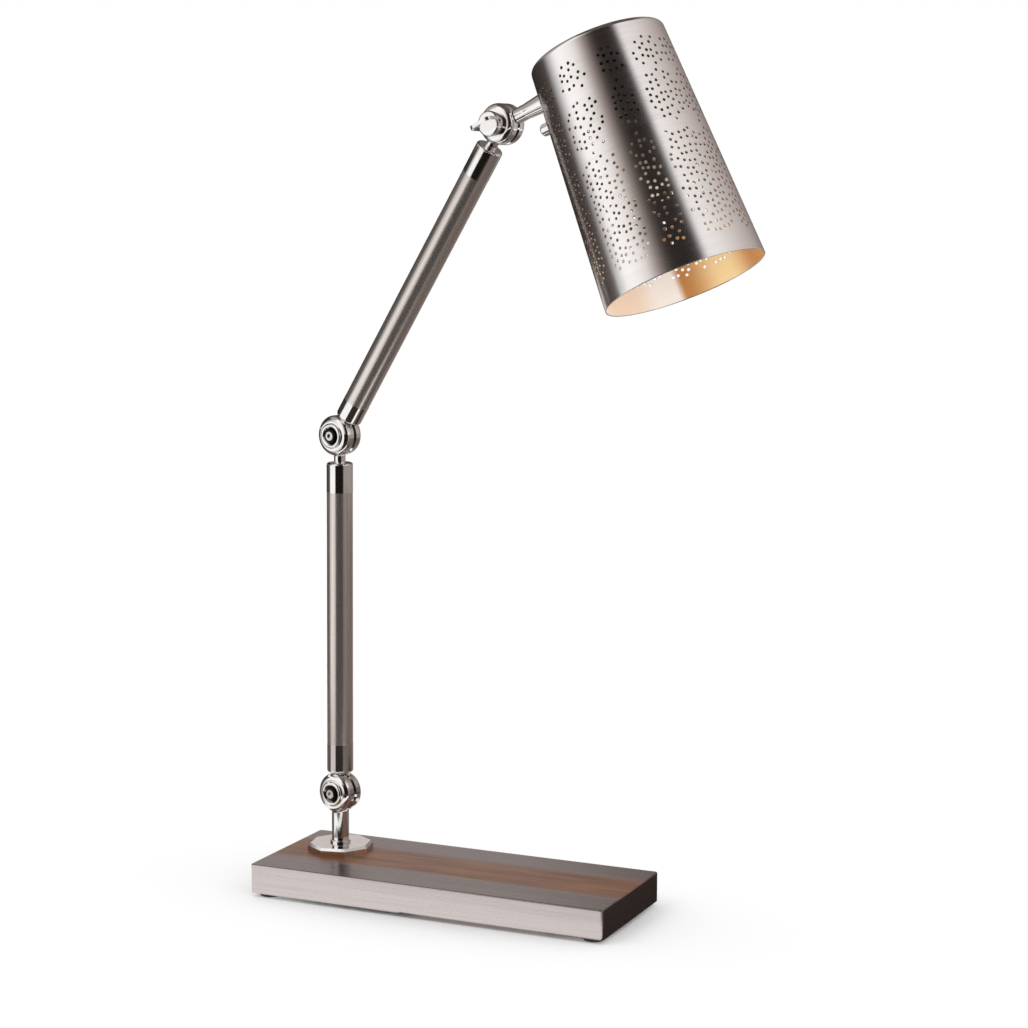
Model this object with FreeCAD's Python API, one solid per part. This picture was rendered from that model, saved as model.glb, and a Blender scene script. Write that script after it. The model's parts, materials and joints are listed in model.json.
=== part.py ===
import FreeCAD, Part
import math
import os

# Adjustable desk lamp: a weighted rectangular base on four rubber feet, a short
# swivelling stem on an octagonal flange, two equal straight arms, and a tapered
# metal shade on a tilting head. Millimetres, +Z up. The origin is the centre of
# the base on the desk plane, +X runs along the base's long side towards the end
# that the shade hangs over, and +Y runs to the back.

Vec = FreeCAD.Vector

# Base
base_length = 260.0
base_width = 100.0
base_height = 20.0
base_wall = 1.5
base_corner_round = 2.5
base_edge_round = 0.8
foot_height = 3.0
foot_radius = 7.0
foot_round = 0.8
foot_inset = 10.0
bottom_plate_thickness = 1.5
ballast_thickness = 11.0
ballast_side_gap = 4.0
nut_well_radius = 15.0
post_radius = 4.0
post_end_inset = 24.0
post_side_inset = 20.0
cover_screw_radius = 2.0
cover_screw_depth = 9.0
cover_screw_head_radius = 3.4
cover_screw_head_height = 1.4
cover_screw_drive = 2.2
cover_screw_drive_depth = 0.9
inlet_radius = 3.0
inlet_wall = 1.2
inlet_lip = 2.4
inlet_lip_thickness = 1.5
inlet_height_share = 0.5

# Stem and flange
stem_end_distance = 36.5
stem_back_distance = 37.5
stem_radius = 6.0
stem_nipple_radius = 4.5
stem_bore_radius = 3.0
stem_nipple_length = 15.0
flange_across_flats = 42.4
flange_thickness = 4.6
flange_edge_chamfer = 1.6
flange_sides = 8
flange_turn = 12.8
bushing_radius = 7.1
bushing_height = 1.9
bushing_round = 0.7
hex_across_flats = 14.0
hex_sides = 6
stem_nut_height = 5.0
stem_washer_radius = 9.0
stem_washer_thickness = 1.2

# Pivots: half-lap knuckles clamped by a screw
pivot_height = 40.6
knuckle_radius = 13.8
knuckle_half_thickness = 8.3
knuckle_face_round = 4.3
knuckle_seam_chamfer = 1.0
head_knuckle_radius = 13.2
friction_washer_radius = 10.0
friction_washer_thickness = 0.6
pivot_screw_radius = 3.0
cup_radius = 8.7
cup_thickness = 1.9
cup_round = 1.3
cup_bowl_radius = 6.7
cup_lip_round = 1.6
cup_bowl_depth = 1.3
screw_head_radius = 4.4
screw_head_height = 2.1
screw_head_round = 1.2
socket_across_flats = 3.2
socket_depth = 1.5
neck_radius = 4.0
stem_post_length = 18.0
stem_spigot_length = 10.0

# Arms
arm_pivot_distance = 250.0
tube_radius = 9.0
tube_wall = 1.2
collar_radius = 9.1
collar_round = 1.6
collar_spigot_length = 8.0
neck_grip_step = 2.0
tie_rod_radius = 2.5
tie_rod_grip = 10.0
lower_gap_bottom = 14.4
lower_collar_bottom = 20.0
lower_collar_top = 20.5
lower_gap_top = 18.8
upper_gap_bottom = 14.4
upper_collar_bottom = 14.0
upper_collar_top = 21.5
upper_gap_top = 17.2

# Thumb screw of the head pivot
thumb_boss_radius = 8.2
thumb_boss_length = 7.2
thumb_boss_round = 1.4
thumb_blade_width = 17.0
thumb_blade_thickness = 2.4
thumb_blade_length = 10.0
thumb_blade_round = 4.0

# Head and shade
stub_radius = 5.0
flare_radius = 6.6
flare_length = 20.0
flare_rim = 1.2
shade_axis_distance = 85.2
shade_stub_depth = 10.7
shade_length = 158.5
shade_top_radius = 43.6
shade_bottom_radius = 52.1
shade_wall = 0.9
shade_top_round = 3.0
nipple_inside_length = 12.0
head_nut_height = 4.0
head_nut_setback = 2.4
bracket_thickness = 1.6
bracket_width = 16.0
bracket_tail = 9.0
socket_cap_radius = 14.0
socket_cap_height = 14.0
socket_cap_round = 4.0
socket_radius = 18.0
socket_height = 34.0
socket_wall = 3.0
socket_nipple_radius = 5.0
socket_nut_height = 1.8
socket_nut_gap = 0.8
bulb_base_radius = 13.2
bulb_base_length = 27.0
bulb_base_entry = 5.0
bulb_thread_depth = 0.7
bulb_thread_turns = 6
bulb_neck_straight = 6.0
bulb_neck_length = 9.0
bulb_radius = 22.5
bulb_length = 52.0
bulb_wall = 0.8
switch_drop = 16.5
switch_body_size = 11.0
switch_body_depth = 12.0
switch_body_gap = 1.6
switch_shaft_radius = 1.8
switch_shaft_grip = 4.0
switch_knob_radius = 4.0
switch_knob_length = 12.5
switch_knob_round = 1.6
switch_knob_gap = 0.6

# Fits
running_clearance = 0.05
seat_clearance = 0.05
assembly_clearance = 0.2
wall_hole_clearance = 0.3
swing_clearance = 0.5
cut_overrun = 2.0

# Pose, in degrees: how the lamp stands as built
swivel_angle = -12.2
lower_arm_lean = 0.35
upper_arm_lean = 33.5
head_tilt = 25.1

X_AXIS = Vec(1, 0, 0)
Y_AXIS = Vec(0, 1, 0)
Z_AXIS = Vec(0, 0, 1)
ORIGIN = Vec(0, 0, 0)

stem_x = stem_end_distance - base_length / 2
stem_y = base_width / 2 - stem_back_distance
base_bottom = foot_height
base_top = foot_height + base_height
flange_top = base_top + flange_thickness
pivot_1 = Vec(0, 0, base_top + pivot_height)
lap = friction_washer_thickness / 2
knuckle_outer = lap + knuckle_half_thickness


def moved(shape, place):
    """Return a copy of the shape carried to a placement."""
    copy = shape.copy()
    copy.Placement = place.multiply(copy.Placement)
    return copy


def outline_face(corners):
    """Return the face in the XZ plane inside (x, z, round) corners."""
    count = len(corners)
    points = [Vec(x, 0, z) for x, z, radius in corners]
    edges = []
    ends = []
    for index in range(count):
        here = points[index]
        radius = corners[index][2]
        back = points[index - 1] - here
        on = points[(index + 1) % count] - here
        back.normalize()
        on.normalize()
        if radius == 0:
            ends.append((here, here, None))
            continue
        half = back.getAngle(on) / 2
        middle = back + on
        middle.normalize()
        setback = radius / math.tan(half)
        deep = radius / math.sin(half) - radius
        ends.append((here + back * setback, here + on * setback, here + middle * deep))
    for index in range(count):
        start, stop, middle = ends[index]
        if middle is not None:
            edges.append(Part.Arc(start, middle, stop).toShape())
        following = ends[(index + 1) % count][0]
        edges.append(Part.LineSegment(stop, following).toShape())
    return Part.Face(Part.Wire(edges))


def turned(corners):
    """Return the solid of revolution about Z of (radius, z, round) corners."""
    return outline_face(corners).revolve(ORIGIN, Z_AXIS, 360)


def rod(radius, start, stop):
    """Return a cylinder about Z between two heights."""
    return Part.makeCylinder(radius, stop - start, Vec(0, 0, start))


def tube(outer, inner, start, stop):
    """Return a plain tube about Z between two heights."""
    bore = rod(inner, start - cut_overrun, stop + cut_overrun)
    return rod(outer, start, stop).cut(bore)


def block(x_size, y_size, z_size, centre_x, centre_y, bottom):
    """Return a box centred in X and Y that stands at a height."""
    corner = Vec(centre_x - x_size / 2, centre_y - y_size / 2, bottom)
    return Part.makeBox(x_size, y_size, z_size, corner)


def prism(across_flats, sides, start, stop):
    """Return a regular prism about Z with flats facing the axes."""
    reach = across_flats / 2 / math.cos(math.pi / sides)
    points = []
    for index in range(sides + 1):
        angle = math.pi / sides * (2 * index + 1)
        points.append(Vec(reach * math.cos(angle), reach * math.sin(angle), start))
    face = Part.Face(Part.makePolygon(points))
    return face.extrude(Vec(0, 0, stop - start))


def upright_edges(shape):
    """Return the straight edges of a shape that run along Z."""
    found = []
    for edge in shape.Edges:
        first, last = edge.Vertexes[0].Point, edge.Vertexes[-1].Point
        if abs(first.z - last.z) > (first - last).Length / 2:
            found.append(edge)
    return found


def edges_at(shape, height):
    """Return the edges of a shape that lie wholly at a height."""
    found = []
    for edge in shape.Edges:
        box = edge.BoundBox
        if abs(box.ZMin - height) + abs(box.ZMax - height) < base_edge_round / 10:
            found.append(edge)
    return found


def about_y(shape, side):
    """Turn a shape built about Z to lie about Y, away from the mid-plane."""
    return moved(shape, FreeCAD.Placement(ORIGIN, FreeCAD.Rotation(X_AXIS, -90 * side)))


def knuckle_half(side, radius, limb_radius, limb_end):
    """Return one half-lap knuckle with its limb along +Z.

    The pivot is the origin and the hinge axis is Y. A side of 1 is the rear
    half and a side of -1 the front half.
    """
    disc = about_y(turned([
        (0, lap, 0),
        (radius - knuckle_seam_chamfer, lap, 0),
        (radius, lap + knuckle_seam_chamfer, 0),
        (radius, knuckle_outer, knuckle_face_round),
        (0, knuckle_outer, 0),
    ]), side)
    limb = rod(limb_radius, 0, limb_end)
    swing = about_y(rod(radius + swing_clearance, -limb_radius - cut_overrun, lap), side)
    bore = about_y(rod(
        pivot_screw_radius + running_clearance,
        -cut_overrun,
        knuckle_outer + cut_overrun,
    ), side)
    return disc.fuse(limb.cut(swing)).cut(bore).removeSplitter()


def cup_washer():
    """Return the dished front washer of a pivot, seen from -Y."""
    back = knuckle_outer
    front = knuckle_outer + cup_thickness
    bowl = front - cup_bowl_depth
    bore = pivot_screw_radius + seat_clearance
    return about_y(turned([
        (bore, back, 0),
        (cup_radius, back, 0),
        (cup_radius, front, cup_round),
        (cup_bowl_radius, front, cup_lip_round),
        (screw_head_radius + seat_clearance, bowl, 0),
        (bore, bowl, 0),
    ]), -1)


def pivot_screw(reach):
    """Return a socket screw through a pivot, its head in the cup washer."""
    seat = knuckle_outer + cup_thickness - cup_bowl_depth
    crown = seat + screw_head_height
    body = turned([
        (0, -reach, 0),
        (pivot_screw_radius, -reach, 0),
        (pivot_screw_radius, seat, 0),
        (screw_head_radius, seat, 0),
        (screw_head_radius, crown, screw_head_round),
        (0, crown, 0),
    ])
    drive = prism(socket_across_flats, hex_sides, crown - socket_depth, crown + cut_overrun)
    return about_y(body.cut(drive), -1)


def friction_washer():
    """Return the thin disc clamped between the two halves of a pivot."""
    return about_y(tube(
        friction_washer_radius,
        pivot_screw_radius + running_clearance,
        -lap,
        lap,
    ), 1)


def collar(start, stop, outward):
    """Return an end collar between two heights; outward is its free end."""
    near, far = (start, stop) if outward < 0 else (stop, start)
    inner_end = far - outward * collar_spigot_length
    bore = neck_radius + seat_clearance
    spigot = tube_radius - tube_wall - seat_clearance
    return turned([
        (bore, near, 0),
        (collar_radius, near, collar_round),
        (collar_radius, far, 0),
        (spigot, far, 0),
        (spigot, inner_end, 0),
        (bore, inner_end, 0),
    ])


def flipped(shape):
    """Turn a limb that points up to point down, about the hinge axis."""
    return moved(shape, FreeCAD.Placement(ORIGIN, FreeCAD.Rotation(Y_AXIS, 180)))


def arm_parts(prefix, gap_bottom, low_length, high_length, gap_top, top_side, top_radius):
    """Return the pieces of one arm that stands on its lower pivot."""
    low_start = gap_bottom
    low_stop = gap_bottom + low_length
    high_stop = arm_pivot_distance - gap_top
    high_start = high_stop - high_length
    low_neck = low_stop - neck_grip_step
    high_neck = arm_pivot_distance - high_start - neck_grip_step
    bore_radius = tie_rod_radius + seat_clearance
    low_bore = rod(bore_radius, low_neck - tie_rod_grip, low_neck + cut_overrun)
    high_bore = rod(bore_radius, high_neck - tie_rod_grip, high_neck + cut_overrun)
    bottom = knuckle_half(-1, knuckle_radius, neck_radius, low_neck).cut(low_bore)
    top = knuckle_half(top_side, top_radius, neck_radius, high_neck).cut(high_bore)
    top = flipped(top)
    top.translate(Vec(0, 0, arm_pivot_distance))
    rod_start = low_neck - tie_rod_grip + seat_clearance
    rod_stop = arm_pivot_distance - high_neck + tie_rod_grip - seat_clearance
    return {
        prefix + "_knuckle_bottom": bottom,
        prefix + "_knuckle_top": top,
        prefix + "_collar_bottom": collar(low_start, low_stop, -1),
        prefix + "_collar_top": collar(high_start, high_stop, 1),
        prefix + "_tube": tube(tube_radius, tube_radius - tube_wall, low_stop, high_start),
        prefix + "_tie_rod": rod(tie_rod_radius, rod_start, rod_stop),
    }


def base_parts():
    """Return the pieces of the weighted base."""
    cavity_top = base_top - base_wall
    outer = block(base_length, base_width, base_height, 0, 0, base_bottom)
    outer = outer.makeFillet(base_corner_round, upright_edges(outer))
    outer = outer.makeFillet(base_edge_round, edges_at(outer, base_top))
    cavity = block(
        base_length - 2 * base_wall,
        base_width - 2 * base_wall,
        cavity_top - base_bottom + cut_overrun,
        0, 0, base_bottom - cut_overrun,
    )
    cavity = cavity.makeFillet(base_corner_round - base_wall, upright_edges(cavity))
    stem_hole = rod(stem_nipple_radius + running_clearance, base_bottom, base_top + cut_overrun)
    stem_hole.translate(Vec(stem_x, stem_y, 0))
    inlet_z = base_bottom + base_height * inlet_height_share
    inlet_outer = inlet_radius + inlet_wall
    inlet_place = FreeCAD.Placement(
        Vec(stem_x, base_width / 2, inlet_z),
        FreeCAD.Rotation(X_AXIS, -90),
    )
    inlet_hole = rod(inlet_outer + seat_clearance, -base_wall - cut_overrun, cut_overrun)
    cover = outer.cut(cavity).cut(stem_hole).cut(moved(inlet_hole, inlet_place))

    plate_gap = base_wall + assembly_clearance
    plate_x = base_length - 2 * plate_gap
    plate_y = base_width - 2 * plate_gap
    plate = block(plate_x, plate_y, bottom_plate_thickness, 0, 0, base_bottom)
    plate = plate.makeFillet(base_corner_round - base_wall, upright_edges(plate))
    ballast_bottom = base_bottom + bottom_plate_thickness
    ballast = block(
        plate_x - 2 * ballast_side_gap,
        plate_y - 2 * ballast_side_gap,
        ballast_thickness, 0, 0, ballast_bottom,
    )
    well = rod(nut_well_radius, ballast_bottom - cut_overrun, base_top)
    well.translate(Vec(stem_x, stem_y, 0))
    ballast = ballast.cut(well)

    posts = []
    screws = []
    feet = []
    post_x = base_length / 2 - post_end_inset
    post_y = base_width / 2 - post_side_inset
    foot_x = base_length / 2 - foot_inset
    foot_y = base_width / 2 - foot_inset
    screw_top = ballast_bottom + cover_screw_depth
    head_top = base_bottom + cover_screw_head_height
    drive_top = base_bottom + cover_screw_drive_depth
    drive = prism(cover_screw_drive, hex_sides, base_bottom - cut_overrun, drive_top)
    for x_sign in (-1, 1):
        for y_sign in (-1, 1):
            at_post = Vec(x_sign * post_x, y_sign * post_y, 0)
            at_foot = Vec(x_sign * foot_x, y_sign * foot_y, 0)
            post = tube(post_radius, cover_screw_radius, ballast_bottom, cavity_top)
            post.translate(at_post)
            posts.append(post)
            passage = rod(
                post_radius + assembly_clearance,
                ballast_bottom - cut_overrun,
                cavity_top,
            )
            passage.translate(at_post)
            ballast = ballast.cut(passage)
            screw = turned([
                (0, base_bottom, 0),
                (cover_screw_head_radius, base_bottom, 0),
                (cover_screw_radius, head_top, 0),
                (cover_screw_radius, screw_top, 0),
                (0, screw_top, 0),
            ]).cut(drive)
            screw.translate(at_post)
            screws.append(screw)
            hole = turned([
                (0, base_bottom - cut_overrun, 0),
                (cover_screw_head_radius + seat_clearance, base_bottom - cut_overrun, 0),
                (cover_screw_head_radius + seat_clearance, base_bottom, 0),
                (cover_screw_radius + seat_clearance, head_top, 0),
                (cover_screw_radius + seat_clearance, ballast_bottom + cut_overrun, 0),
                (0, ballast_bottom + cut_overrun, 0),
            ])
            hole.translate(at_post)
            plate = plate.cut(hole)
            foot = turned([
                (0, 0, 0),
                (foot_radius, 0, foot_round),
                (foot_radius, ballast_bottom, 0),
                (0, ballast_bottom, 0),
            ])
            foot.translate(at_foot)
            feet.append(foot)
            hole = rod(
                foot_radius + seat_clearance,
                base_bottom - cut_overrun,
                ballast_bottom + cut_overrun,
            )
            hole.translate(at_foot)
            plate = plate.cut(hole)

    inlet = turned([
        (inlet_radius, -base_wall - inlet_lip_thickness, 0),
        (inlet_outer, -base_wall - inlet_lip_thickness, 0),
        (inlet_outer, 0, 0),
        (inlet_outer + inlet_lip, 0, 0),
        (inlet_outer + inlet_lip, inlet_lip_thickness, inlet_lip_thickness / 2),
        (inlet_radius, inlet_lip_thickness, 0),
    ])
    return {
        "base_cover": cover,
        "base_ballast": ballast,
        "base_bottom_plate": plate,
        "base_posts": Part.makeCompound(posts),
        "base_cover_screws": Part.makeCompound(screws),
        "base_feet": Part.makeCompound(feet),
        "base_cord_inlet": moved(inlet, inlet_place),
    }


def stem_parts():
    """Return the flange, bushing and stem, about the stem axis."""
    cavity_top = base_top - base_wall
    nipple_hole = rod(stem_nipple_radius + running_clearance, base_bottom, flange_top + cut_overrun)
    flange = prism(flange_across_flats, flange_sides, base_top, flange_top)
    flange = flange.makeChamfer(flange_edge_chamfer, edges_at(flange, flange_top))
    flange = flange.cut(nipple_hole)
    flange = moved(flange, FreeCAD.Placement(ORIGIN, FreeCAD.Rotation(Z_AXIS, flange_turn)))
    bushing_top = flange_top + bushing_height
    bushing = turned([
        (stem_radius + running_clearance, flange_top, 0),
        (bushing_radius, flange_top, 0),
        (bushing_radius, bushing_top, bushing_round),
        (stem_radius + running_clearance, bushing_top, 0),
    ])
    washer_bottom = cavity_top - stem_washer_thickness
    washer = tube(
        stem_washer_radius,
        stem_nipple_radius + running_clearance,
        washer_bottom,
        cavity_top,
    )
    nut_bottom = washer_bottom - stem_nut_height
    nut = prism(hex_across_flats, hex_sides, nut_bottom, washer_bottom)
    nut = nut.cut(nipple_hole)
    post_bottom = pivot_1.z - stem_post_length
    spigot_bottom = post_bottom - stem_spigot_length
    socket_radius_in_stem = neck_radius + seat_clearance
    stem = turned([
        (stem_bore_radius, flange_top - stem_nipple_length, 0),
        (stem_nipple_radius, flange_top - stem_nipple_length, 0),
        (stem_nipple_radius, flange_top, 0),
        (stem_radius, flange_top, 0),
        (stem_radius, post_bottom, 0),
        (socket_radius_in_stem, post_bottom, 0),
        (socket_radius_in_stem, spigot_bottom - seat_clearance, 0),
        (stem_bore_radius, spigot_bottom - seat_clearance, 0),
    ])
    knuckle = knuckle_half(1, knuckle_radius, stem_radius, stem_post_length)
    spigot = rod(neck_radius, stem_post_length, stem_post_length + stem_spigot_length)
    knuckle = flipped(knuckle.fuse(spigot))
    knuckle.translate(pivot_1)
    fixed = {"stem_flange": flange, "stem_bushing": bushing, "stem_washer": washer}
    turning = {"stem_nut": nut, "stem_tube": stem, "stem_knuckle": knuckle}
    return fixed, turning


def shade_radius(depth):
    """Return the outer radius of the shade at a depth below its top."""
    slope = (shade_bottom_radius - shade_top_radius) / shade_length
    return shade_top_radius + slope * depth


def beside_wall(distance, height, taper):
    """Return the x at a height of the plane at a distance along the stub."""
    return (distance + height * math.sin(taper)) / math.cos(taper)


def head_parts():
    """Return the head's pieces, with the pivot at the origin.

    The shade's axis is parallel to Z, with its open end down. What is fixed
    to its tapered wall, the stub and the switch, stands square to that wall.
    """
    axis = Vec(shade_axis_distance, 0, 0)
    top = shade_stub_depth
    bottom = top - shade_length
    shade_full = turned([
        (0, bottom, 0),
        (shade_bottom_radius, bottom, 0),
        (shade_top_radius, top, shade_top_round),
        (0, top, 0),
    ])
    slope = (shade_bottom_radius - shade_top_radius) / shade_length
    hollow = turned([
        (0, bottom - cut_overrun, 0),
        (shade_bottom_radius - shade_wall + slope * cut_overrun, bottom - cut_overrun, 0),
        (shade_top_radius - shade_wall, top - shade_wall, shade_top_round - shade_wall),
        (0, top - shade_wall, 0),
    ])
    shade_full.translate(axis)
    hollow.translate(axis)
    taper = math.atan(slope)
    wall_out = (shade_axis_distance - shade_radius(top)) * math.cos(taper)
    wall_in = wall_out + shade_wall * math.cos(taper)
    to_wall = FreeCAD.Placement(ORIGIN, FreeCAD.Rotation(Y_AXIS, 90 + math.degrees(taper)))
    to_switch = to_wall.multiply(FreeCAD.Placement(Vec(switch_drop, 0, 0), FreeCAD.Rotation()))
    stub_hole = moved(rod(
        stem_nipple_radius + wall_hole_clearance,
        wall_out - cut_overrun,
        wall_in + cut_overrun,
    ), to_wall)
    switch_hole = moved(rod(
        switch_shaft_radius + wall_hole_clearance,
        wall_out - cut_overrun,
        wall_in + cut_overrun,
    ), to_switch)
    shade = shade_full.cut(hollow).cut(stub_hole).cut(switch_hole)

    nipple_end = wall_in + nipple_inside_length
    limb = knuckle_half(1, head_knuckle_radius, stub_radius, wall_out - flare_length)
    nipple = rod(stem_nipple_radius, wall_out - flare_length, nipple_end)
    knuckle = moved(limb.fuse(nipple), to_wall)
    bore = stem_nipple_radius + seat_clearance
    flare = turned([
        (bore, wall_out - flare_length, 0),
        (stub_radius, wall_out - flare_length, 0),
        (flare_radius, wall_out - flare_rim, 0),
        (flare_radius, wall_out + flare_radius / 3, 0),
        (bore, wall_out + flare_radius / 3, 0),
    ])
    flare = moved(flare, to_wall).cut(shade_full)

    plate_x = wall_in + head_nut_setback
    nut_hole = moved(rod(bore, 0, nipple_end + cut_overrun), to_wall)
    nut_start = plate_x + bracket_thickness
    nut = prism(hex_across_flats, hex_sides, nut_start, nut_start + head_nut_height)
    nut = moved(nut, to_wall).cut(nut_hole)

    shelf_top = top - shade_wall - socket_nut_gap - socket_nut_height
    shelf_bottom = shelf_top - bracket_thickness
    upright_bottom = -nut_start * math.sin(taper) - hex_across_flats / 2
    shelf_end = shade_axis_distance + bracket_tail
    bracket = outline_face([
        (beside_wall(plate_x, upright_bottom, taper), upright_bottom, 0),
        (beside_wall(plate_x, shelf_top, taper), shelf_top, 0),
        (shelf_end, shelf_top, 0),
        (shelf_end, shelf_bottom, 0),
        (beside_wall(nut_start, shelf_bottom, taper), shelf_bottom, 0),
        (beside_wall(nut_start, upright_bottom, taper), upright_bottom, 0),
    ]).extrude(Vec(0, bracket_width, 0))
    bracket.translate(Vec(0, -bracket_width / 2, 0))
    screw_hole = rod(
        socket_nipple_radius + seat_clearance,
        shelf_bottom - cut_overrun,
        shelf_top + cut_overrun,
    )
    screw_hole.translate(axis)
    bracket = bracket.cut(nut_hole).cut(screw_hole)
    socket_nut_top = shelf_top + socket_nut_height
    socket_nut = prism(hex_across_flats, hex_sides, shelf_top, socket_nut_top)
    socket_nut.translate(axis)
    socket_nut = socket_nut.cut(screw_hole)

    cap_bottom = shelf_bottom - socket_cap_height
    cap = turned([
        (0, cap_bottom, 0),
        (socket_radius, cap_bottom, 0),
        (socket_cap_radius, shelf_bottom, socket_cap_round),
        (socket_nipple_radius, shelf_bottom, 0),
        (socket_nipple_radius, socket_nut_top, 0),
        (0, socket_nut_top, 0),
    ])
    cap.translate(axis)
    shell_bottom = cap_bottom - socket_height
    shell_inner = socket_radius - socket_wall
    shell_floor = cap_bottom - socket_wall
    shell = turned([
        (0, shell_floor, 0),
        (shell_inner, shell_floor, 0),
        (shell_inner, shell_bottom, 0),
        (socket_radius, shell_bottom, socket_wall / 3),
        (socket_radius, cap_bottom, 0),
        (0, cap_bottom, 0),
    ])
    shell.translate(axis)

    contact = shell_floor
    thread_start = contact - bulb_base_entry
    thread_stop = contact - bulb_base_length
    pitch = (thread_start - thread_stop) / bulb_thread_turns
    rings = []
    for index in range(bulb_thread_turns):
        crest = thread_start - index * pitch
        rings.append((bulb_base_radius - bulb_thread_depth, crest, 0))
        rings.append((bulb_base_radius, crest - pitch / 2, 0))
    corners = [
        (0, thread_stop, 0),
        (0, contact, 0),
        (bulb_base_entry, contact, 0),
    ]
    corners = corners + rings
    corners.append((bulb_base_radius - bulb_thread_depth, thread_stop, 0))
    bulb_base = turned(corners)
    bulb_base.translate(axis)
    ball = thread_stop - bulb_length + bulb_radius
    neck_start = thread_stop - bulb_neck_straight
    neck_stop = neck_start - bulb_neck_length
    neck = bulb_base_radius - bulb_thread_depth
    glass = turned([
        (0, ball, 0),
        (bulb_radius, ball, 0),
        (bulb_radius, neck_stop - bulb_neck_length / 2, bulb_neck_length),
        (neck, neck_start, 0),
        (neck, thread_stop, 0),
        (0, thread_stop, 0),
    ])
    dome = Part.makeSphere(bulb_radius, Vec(0, 0, ball))
    inside = turned([
        (0, ball, 0),
        (bulb_radius - bulb_wall, ball, 0),
        (bulb_radius - bulb_wall, neck_stop - bulb_neck_length / 2, bulb_neck_length - bulb_wall),
        (neck - bulb_wall, neck_start, 0),
        (neck - bulb_wall, thread_stop + cut_overrun, 0),
        (0, thread_stop + cut_overrun, 0),
    ])
    inside = inside.fuse(Part.makeSphere(bulb_radius - bulb_wall, Vec(0, 0, ball)))
    glass = glass.fuse(dome).removeSplitter().cut(inside.removeSplitter())
    glass.translate(axis)

    switch_in = wall_in + switch_body_gap
    switch_body = block(switch_body_size, switch_body_size, switch_body_depth, 0, 0, switch_in)
    switch_body = moved(switch_body.cut(rod(
        switch_shaft_radius + running_clearance,
        switch_in - cut_overrun,
        switch_in + switch_shaft_grip + seat_clearance,
    )), to_switch)
    knob_stop = wall_out - switch_knob_gap
    knob_start = knob_stop - switch_knob_length
    knob = turned([
        (0, knob_start, 0),
        (switch_knob_radius, knob_start, switch_knob_round),
        (switch_knob_radius, knob_stop, 0),
        (switch_shaft_radius, knob_stop, 0),
        (switch_shaft_radius, switch_in + switch_shaft_grip, 0),
        (0, switch_in + switch_shaft_grip, 0),
    ])
    knob = moved(knob, to_switch)
    return {
        "shade": shade,
        "head_knuckle": knuckle,
        "head_flare": flare,
        "head_nut": nut,
        "head_washer": friction_washer(),
        "socket_bracket": bracket,
        "socket_nut": socket_nut,
        "socket_cap": cap,
        "socket_shell": shell,
        "bulb_base": bulb_base,
        "bulb_glass": glass,
        "switch_body": switch_body,
        "switch_knob": knob,
    }


def thumb_screw():
    """Return the hand screw that clamps the head pivot, blade level."""
    boss_front = knuckle_outer + thumb_boss_length
    reach = knuckle_outer
    body = turned([
        (0, -reach, 0),
        (pivot_screw_radius, -reach, 0),
        (pivot_screw_radius, knuckle_outer, 0),
        (thumb_boss_radius, knuckle_outer, 0),
        (thumb_boss_radius, boss_front, thumb_boss_round),
        (0, boss_front, 0),
    ])
    root = boss_front - thumb_boss_round
    half_width = thumb_blade_width / 2
    tip = boss_front + thumb_blade_length
    blade = outline_face([
        (-half_width, root, 0),
        (half_width, root, 0),
        (half_width, tip, thumb_blade_round),
        (-half_width, tip, thumb_blade_round),
    ]).extrude(Vec(0, thumb_blade_thickness, 0))
    blade.translate(Vec(0, -thumb_blade_thickness / 2, 0))
    return about_y(body.fuse(blade), -1)


def pivot_parts(prefix):
    """Return the clamp of a plain pivot: screw, cup washer, friction disc."""
    return {
        prefix + "_screw": pivot_screw(knuckle_outer),
        prefix + "_cup_washer": cup_washer(),
        prefix + "_friction_washer": friction_washer(),
    }


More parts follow.
